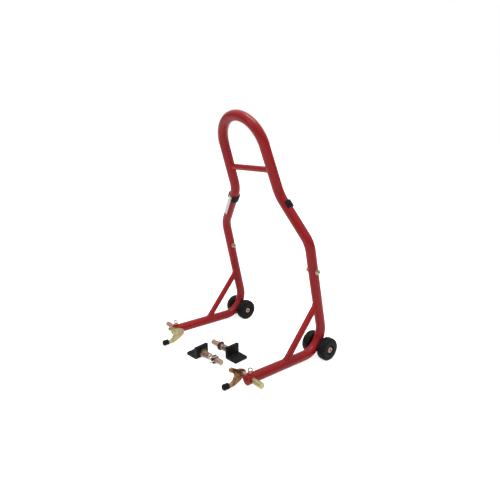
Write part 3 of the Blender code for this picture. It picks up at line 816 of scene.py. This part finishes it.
def build_roller(side, place, word):
    """One roller, its bush, and the thrust washer and domed cap that hold it on the axle."""
    reach = side * place
    centre = middle("wheel_" + word)
    matrix = along_x(*centre, reach)
    tyre = turned("roller_" + word, wheel_profile(), matrix, 96)
    stands_for(tyre, "black_rubber", "black_rubber", "wheel_" + word)
    hole = AXLE_R + GAP
    bush = [(hole, -0.0153), (0.0086, -0.0153), (0.0090, -0.0149)]
    bush += [(0.0090, 0.0096), (0.0086, 0.0100), (hole, 0.0100)]
    liner = turned("roller_bush_" + word, bush, matrix)
    stands_for(liner, "bright_zinc", "bright_zinc", "wheel_bush_" + word)
    base = along_x(side * LEG_X, centre.y, centre.z, reach)
    washer = [(hole, 0.0158), (0.0097, 0.0158), (0.0100, 0.0161)]
    washer += [(0.0100, 0.0167), (0.0097, 0.0170), (hole, 0.0170)]
    ring = turned("spacer_washer_" + word, washer, base)
    stands_for(ring, "bright_zinc", "bright_zinc", "thrust_washer_" + word)
    hub = WHEEL_OFFSET + 0.0100
    cap = [(0, hub + 0.0020), (hole, hub + 0.0020), (hole, hub + GAP)]
    cap += [(0.0094, hub + GAP), (0.0098, hub + 0.0007)]
    cap += bezier((0.0098, hub + 0.0018), (0.0098, hub + 0.0034),
                  (0.0080, hub + 0.0041), (0.0062, hub + 0.0043), 8)
    cap += bezier((0.0052, hub + 0.0043), (0.0042, hub + 0.0043),
                  (0.0042, hub + 0.0026), (0.0030, hub + 0.0024), 6)
    cap += [(0, hub + 0.0024)]
    dome = turned("push_cap_" + word, cap, base)
    made = stands_for(dome, "bright_zinc", "bright_zinc", "axle_cap_" + word)
    # Painted shade: the cap's centre dimple is coloured dark.
    darkened(made, base, 0.0046, hub + 0.0021, hub + 0.0050)


def build_axle(side, word):
    centre = middle("axle_sleeve_" + word)
    across = along_x(*centre, side)
    end = WHEEL_OFFSET + 0.0117
    axle = [(0, -end), (AXLE_R - 0.0005, -end), (AXLE_R, 0.0005 - end)]
    axle += [(AXLE_R, end - 0.0005), (AXLE_R - 0.0005, end), (0, end)]
    shaft = turned("axle_" + word, axle, across, 48)
    stands_for(shaft, "bright_zinc", "bright_zinc", "axle_rod_" + word)
    hole = AXLE_R + GAP
    low = SLEEVE_HALF - 0.0005
    sleeve = [(hole, -SLEEVE_HALF), (SLEEVE_R - 0.0005, -SLEEVE_HALF), (SLEEVE_R, -low), (SLEEVE_R, low),
              (SLEEVE_R - 0.0005, SLEEVE_HALF), (hole, SLEEVE_HALF)]
    stands_for(turned("axle_tube_" + word, sleeve, across), "red_coat", "red_coat", "axle_sleeve_" + word)
    build_roller(side, 1, word + "_outer")
    build_roller(side, -1, word + "_inner")


def hook_outline():
    """Seen from the side, u forward and v up from the pin: round boss, upper horn, long lower arm."""
    points = arc_points((0, 0), 0.0132, math.radians(100), math.radians(235), 40)
    points += bezier(points[-1], (0.0020, -0.0175), (0.0180, -0.0290), (0.0400, -0.0298), 24)[1:]
    points += [(0.0485, -0.0292), (0.0498, -0.0262), (0.0660, -0.0262), (0.0660, -0.0162), (0.0500, -0.0162)]
    points += bezier((0.0440, -0.0178), (0.0350, -0.0150), (0.0290, -0.0080), (0.0290, 0.0010), 20)
    points += bezier((0.0290, 0.0010), (0.0290, 0.0100), (0.0370, 0.0160), (0.0450, 0.0195), 20)[1:]
    points += bezier((0.0450, 0.0195), (0.0480, 0.0213), (0.0480, 0.0275), (0.0440, 0.0303), 8)[1:]
    points += bezier((0.0440, 0.0303), (0.0415, 0.0318), (0.0378, 0.0315), (0.0350, 0.0306), 6)[1:]
    points += bezier((0.0350, 0.0306), (0.0240, 0.0235), (0.0160, 0.0172), (0.0060, 0.0166), 16)[1:]
    return points


def build_hook(side, word):
    """Hook plate, the round pin that slides in the leg, the rubber foot and the eye screw."""
    pin_at = middle("eye_screw_" + word)
    origin = Vector((side * LEG_X, pin_at.y, middle("hook_pin_" + word).z))
    near = PLATE_AT[word]
    far = near + PLATE_THICK
    facing = axes(origin, (0, -1, 0), (0, 0, 1), (-1, 0, 0))
    low, high = sorted((side * near, side * far))
    u, v, small = PLATE_HOLE
    outlines = [hook_outline(), circle((0, 0), PIN_R + 0.0001), circle((u, v), small, 28)]
    plate = flat_plate("spool_hook_" + word, outlines, low, high, facing, 0.0007)
    # On the right the plate's colour is painted shade and a painted red reflection of the leg.
    stands_for(plate, PLATE_FINISH[word], "yellow_zinc", "hook_plate_" + word)

    across = along_x(*origin, flip=side)
    out = PIN_LENGTH - far
    section = [(0, -far), (PIN_R - 0.0010, -far), (PIN_R, 0.0010 - far), (PIN_R, out - 0.0014)]
    section += [(PIN_R - 0.0014, out), (0, out)]
    pin = turned("slide_pin_" + word, section, across)
    stands_for(pin, PIN_FINISH[word], "yellow_zinc", "hook_pin_" + word)
    weld_place = across @ Matrix.Translation((0, 0, -far - 0.0001))
    ring = weld_ring("hook_weld_" + word, weld_place, PIN_R + 0.0006, 0.0013, side + 21)
    extra(ring, "yellow_zinc", BODY_OF["hook_plate_" + word])

    forward = Vector((0, -math.cos(FOOT_TILT), math.sin(FOOT_TILT)))
    centre = Vector((origin.x - side * (near + far) / 2, origin.y - FOOT_U, FOOT_Z))
    place = axes(centre, (1, 0, 0), forward.cross(Vector((1, 0, 0))), forward)
    nose = arc_points((FOOT_R - 0.0060, 0.0040), 0.0060, 0, math.pi / 2, 12)
    lip = [(0, -0.0100), (FOOT_R - 0.0010, -0.0100), (FOOT_R, -0.0092), (FOOT_R, -0.0078)]
    lip += [(FOOT_R - 0.0005, -0.0070), (FOOT_R - 0.0003, -0.0010)]
    foot = turned("rubber_foot_" + word, lip + nose + [(0, 0.0100)], place)
    half = PLATE_THICK / 2 + GAP
    slot = [(-half, -0.0058), (half, -0.0058), (half, 0.0058), (-half, 0.0058)]
    carve(foot, flat_plate("slot", [slot], -0.020, 0.0062, place, 0.0001))
    stands_for(foot, "black_rubber", "black_rubber", "hook_foot_" + word)

    neck = [(0, PIN_R + GAP), (0.0030, PIN_R + GAP), (0.0040, PIN_R + 0.0013)]
    neck += threads(0.0040, PIN_R + 0.0014, 0.0205)
    neck += [(0.0034, 0.0212), (0.0030, 0.0222), (0, 0.0222)]
    screw = turned("eye_bolt_" + word, neck, Matrix.Translation(origin), 40)
    turn = math.radians(EYE_TURN[word])
    face = Vector((math.cos(turn), math.sin(turn), 0))
    eye = origin + Vector((0, 0, EYE_UP))
    upright = axes(eye, face, (0, 0, 1), face.cross(Vector((0, 0, 1))))
    carve(screw, turned("ring", circle((0.0058, 0), 0.0021, 20), upright), "UNION")
    stands_for(screw, "eye_zinc", "bright_zinc", "eye_screw_" + word)


def slant_frame(s, side):
    """Centre and axes on the slanted run of the handle: outward, forward and up the tube."""
    knee = on_post(KNEE_S, side * LEG_X)
    neck = on_post(NECK_S, side * NECK_HALF, NECK_BACK)
    up = (neck - knee).normalized()
    centre = knee + (neck - knee) * ((s - KNEE_S) / (NECK_S - KNEE_S))
    forward = Vector((0, -1, 0))
    forward = (forward - up * forward.dot(up)).normalized()
    outward = forward.cross(up)
    return centre, outward * (1 if outward.x * side > 0 else -1), forward


def curved_strip(name, side, span, angles, thick, rows, count, rounding):
    """A sheet bent round the tube and thickened; angles run from straight forward to the outside."""
    low, outward, forward = slant_frame(span[0], side)
    high = slant_frame(span[1], side)[0]
    half = (high - low).length / 2
    start, end = [math.radians(a) for a in angles]
    first = forward * math.cos(start) + outward * math.sin(start)
    turn_axis = forward.cross(outward)
    radius = TUBE_R + GAP + thick / 2
    mesh = bpy.data.meshes.new(name)
    mesh.from_pydata([(radius, 0, half - 2 * half * i / rows) for i in range(rows + 1)],
                     [(i, i + 1) for i in range(rows)], [])
    guide = bpy.data.objects.new(name, mesh)
    turn = guide.modifiers.new("turn", "SCREW")
    turn.angle = end - start
    turn.steps = count
    turn.render_steps = count
    thicken = guide.modifiers.new("thicken", "SOLIDIFY")
    thicken.thickness = thick
    thicken.offset = 0
    made = baked(guide, axes((low + high) / 2, first, turn_axis.cross(first), turn_axis))
    return softened(made, rounding) if rounding else made


def build_adapter(word, clip_at, clip_turn):
    """L bracket on the floor, its rubber lining, and a round pin with nut, spacer, washer and clip."""
    x, y, heading = ADAPTERS[word]
    base = Matrix.Translation((x, y, ADAPTER_PIN_Z)) @ Matrix.Rotation(heading, 4, "Z")
    side_on = base @ axes((0, BRACKET_HALF, -ADAPTER_PIN_Z), (1, 0, 0), (0, 0, 1), (0, -1, 0))
    width = 2 * BRACKET_HALF
    steel = [(-BASE_LENGTH, 0, 0.0004), (0, 0, 0.0045), (0, BRACKET_HEIGHT, 0.0006)]
    steel += [(-PLATE_T, BRACKET_HEIGHT, 0.0006), (-PLATE_T, PLATE_T, 0), (-BASE_LENGTH, PLATE_T, 0.0004)]
    bracket = flat_plate("cradle_bracket_" + word, [rounded_outline(steel, 8)], 0, width, side_on, 0.0005)
    stands_for(bracket, "black_coat", "black_coat", "adapter_bracket_" + word)
    near = PLATE_T + GAP
    far = near + PAD_T
    lining = [(-BASE_LENGTH, near, 0.0004), (-near, near, 0), (-near, BRACKET_HEIGHT, 0.0004),
              (-far, BRACKET_HEIGHT, 0.0012), (-far, far, 0.0008), (-BASE_LENGTH, far, 0.0012)]
    pad = flat_plate("cradle_lining_" + word, [rounded_outline(lining)], 0, width, side_on, 0.0007)
    stands_for(pad, "black_rubber", "black_rubber", "adapter_pad_" + word)

    out = base @ axes((0, 0, 0), (0, 1, 0), (0, 0, 1), (1, 0, 0))
    end = ADAPTER_PIN_LENGTH
    section = [(0, GAP), (PIN_R, GAP), (PIN_R, end - 0.0014), (PIN_R - 0.0014, end), (0, end)]
    stud = turned("cradle_pin_" + word, section, out)
    rise = (base @ clip_turn).to_3x3() @ Vector((0, 0, 0.02))
    for distance in CLIP_HOLES:
        hole = base @ Vector((distance, 0, 0))
        carve(stud, rod("hole", hole - rise, hole + rise, CLIP_HOLE_R, 32))
    stands_for(stud, "bright_zinc", "bright_zinc", "adapter_pin_" + word)

    nut = hexagon("cradle_nut_" + word, NUT_FLATS, GAP, SPACER[0] - GAP, out, 30)
    start = base @ Vector((-0.01, 0, 0))
    carve(nut, rod("bore", start, base @ Vector((0.05, 0, 0)), PIN_R + 0.0001))
    stands_for(nut, "yellow_zinc", "yellow_zinc", "adapter_nut_" + word)

    inner = PIN_R + GAP
    low, high = SPACER
    sleeve = [(inner, low)]
    ribs = round((high - low) / SPACER_PITCH)
    pitch = (high - low) / ribs
    for i in range(ribs):
        foot = low + pitch * i
        sleeve += bezier((SPACER_ROOT_R, foot + pitch * 0.22), (SPACER_R, foot + pitch * 0.20),
                         (SPACER_R, foot + pitch * 0.34), (SPACER_R, foot + pitch * 0.44), 6)
        sleeve += bezier((SPACER_R, foot + pitch * 0.48), (SPACER_R, foot + pitch * 0.58),
                         (SPACER_R, foot + pitch * 0.72), (SPACER_ROOT_R, foot + pitch * 0.70), 6)
    sleeve.append((inner, high))
    collar = turned("cradle_spacer_" + word, sleeve, out)
    stands_for(collar, "bright_zinc", "bright_zinc", "adapter_spacer_" + word)
    # Painted shade: the grooves and slopes between the ribs are coloured dark, as shadow in them.
    darkened(collar, out, SPACER_R - 0.00015, low, high)

    round_off = 0.0007
    disc = [(inner, 0)] + arc_points((WASHER_R - round_off, round_off), round_off, -math.pi / 2, 0, 4)
    disc += arc_points((WASHER_R - round_off, WASHER_T - round_off), round_off, 0, math.pi / 2, 4)
    disc += [(inner, WASHER_T)]
    washer_place = out @ Matrix.Translation((0, 0, WASHER_AT[word]))
    washer = turned("cradle_washer_" + word, disc, washer_place)
    # Painted shade and reflection: the whole washer is coloured dark, where its plated face lies in shadow and
    # mirrors dark surroundings.
    stands_for(washer, "dark_steel", "dark_steel", "adapter_washer_" + word)
    build_clip(word, base @ Matrix.Translation((clip_at, 0, 0)) @ clip_turn)


def build_clip(word, matrix):
    """Spring hairpin: the straight leg goes through the pin, the other passes beside it."""
    straight = [(0.0, -0.0125), (0.0, 0.0), (0.0, 0.0125)]
    loop = arc_points((0.0078, 0.0212), 0.0090, math.radians(210), math.radians(-35), 40)
    beside = bezier(loop[-1], (0.0120, 0.0110), (0.0114, 0.0060), (0.0114, 0.0000), 14)[1:]
    flare = bezier(beside[-1], (0.0114, -0.0040), (0.0128, -0.0080), (0.0146, -0.0105), 8)[1:]
    points = [Vector((0, y, z)) for y, z in straight + loop + beside + flare]
    clip = softened(bar("hairpin_" + word, points, CLIP_WIRE_R, 20, matrix), 0.0004, 2, 60)
    stands_for(clip, "spring_wire", "bright_zinc", "adapter_clip_" + word)


build_handle()
for side, word in ((1, "right"), (-1, "left")):
    build_leg(side, word)
    build_joint_bolt(side, word)
    build_axle(side, word)
    build_hook(side, word)
    half = BUMPER_HALF * math.cos(SLANT)
    span = (BUMPER_S - half, BUMPER_S + half)
    turn = (BUMPER_START, BUMPER_END[word])
    bumper = curved_strip("rubber_bumper_" + word, side, span, turn, BUMPER_THICK, 1, 60, 0.0010)
    stands_for(bumper, "black_rubber", "black_rubber", "floor_bumper_" + word)
label = curved_strip("plain_label_left", -1, LABEL_SPAN, LABEL_ANGLES, 0.0004, 12, 24, 0)
stands_for(label, "white_film", "white_film", "blank_label_left")
build_adapter("right", CLIP_HOLES[1], axes((0, 0, 0), (-1, 0, 0), (0, -1, 0), (0, 0, 1)))
build_adapter("left", CLIP_HOLES[2], axes((0, 0, 0), (1, 0, 0), (0, 0, 1), (0, -1, 0)))


# ---------------------------------------------------------------- floor, light and camera
def build_floor():
    """A pale floor with a faint glow of its own, as under a light tent, so that shadows stay weak."""
    made = Finish("pale_floor", specular=0.2)
    cloud = made.spread(made.noise(1.5, 3), 0.3, 0.7, 0, 1)
    made.set("Base Color", made.mix(cloud, (0.80, 0.80, 0.80, 1), (0.78, 0.78, 0.78, 1)))
    made.set("Emission Color", (1, 1, 1, 1))
    made.set("Emission Strength", FLOOR_GLOW)
    made.set("Roughness", 0.7)
    floor = turned("floor", [(0, 0), (30.0, 0)], Matrix.Identity(4), 96)
    floor.data.materials.append(made.material)


def soft_light(name, place, aim, size, power, cast):
    lamp = bpy.data.lights.new(name, "AREA")
    lamp.shape = "RECTANGLE"
    lamp.size, lamp.size_y = size
    lamp.energy = power
    lamp.use_shadow = cast
    made = bpy.data.objects.new(name, lamp)
    made.location = place
    made.rotation_euler = (Vector(aim) - Vector(place)).to_track_quat("-Z", "Y").to_euler()
    bpy.context.scene.collection.objects.link(made)


def build_world():
    """A plain white backdrop; as light, it is dim near the horizon and bright overhead."""
    world = bpy.data.worlds.new("studio")
    world.use_nodes = True
    tree = world.node_tree
    backdrop = tree.nodes["Background"]
    backdrop.inputs["Color"].default_value = (1, 1, 1, 1)
    tent = tree.nodes.new("ShaderNodeBackground")
    tent.inputs["Color"].default_value = (1, 1, 1, 1)
    place = tree.nodes.new("ShaderNodeTexCoord")
    split = tree.nodes.new("ShaderNodeSeparateXYZ")
    climb = tree.nodes.new("ShaderNodeMapRange")
    seen = tree.nodes.new("ShaderNodeLightPath")
    choose = tree.nodes.new("ShaderNodeMixShader")
    tree.links.new(place.outputs["Generated"], split.inputs[0])
    tree.links.new(split.outputs["Z"], climb.inputs["Value"])
    climb.inputs["From Min"].default_value = 0.0
    climb.inputs["From Max"].default_value = 1.0
    climb.inputs["To Min"].default_value = TENT_HORIZON
    climb.inputs["To Max"].default_value = TENT_ZENITH
    tree.links.new(climb.outputs[0], tent.inputs["Strength"])
    tree.links.new(seen.outputs["Is Camera Ray"], choose.inputs[0])
    tree.links.new(tent.outputs[0], choose.inputs[1])
    tree.links.new(backdrop.outputs[0], choose.inputs[2])
    tree.links.new(choose.outputs[0], tree.nodes["World Output"].inputs["Surface"])
    bpy.context.scene.world = world


def build_camera():
    data = bpy.data.cameras.new("camera")
    data.sensor_width = 36.0
    data.lens = LENS
    camera = bpy.data.objects.new("camera", data)
    camera.location = CAMERA_AT
    camera.rotation_euler = (-Vector(CAMERA_BACK)).to_track_quat("-Z", "Y").to_euler()
    bpy.context.scene.collection.objects.link(camera)
    bpy.context.scene.camera = camera


build_floor()
build_world()
soft_light("overhead", (0.2, 0.1, 2.2), (0, 0, 0.4), (0.9, 0.9), 26, False)
soft_light("side_fill", (0.2, -2.4, 1.6), (0, 0, 0.3), (0.7, 1.2), 10, True)
build_camera()
bpy.context.scene.view_settings.view_transform = "Standard"
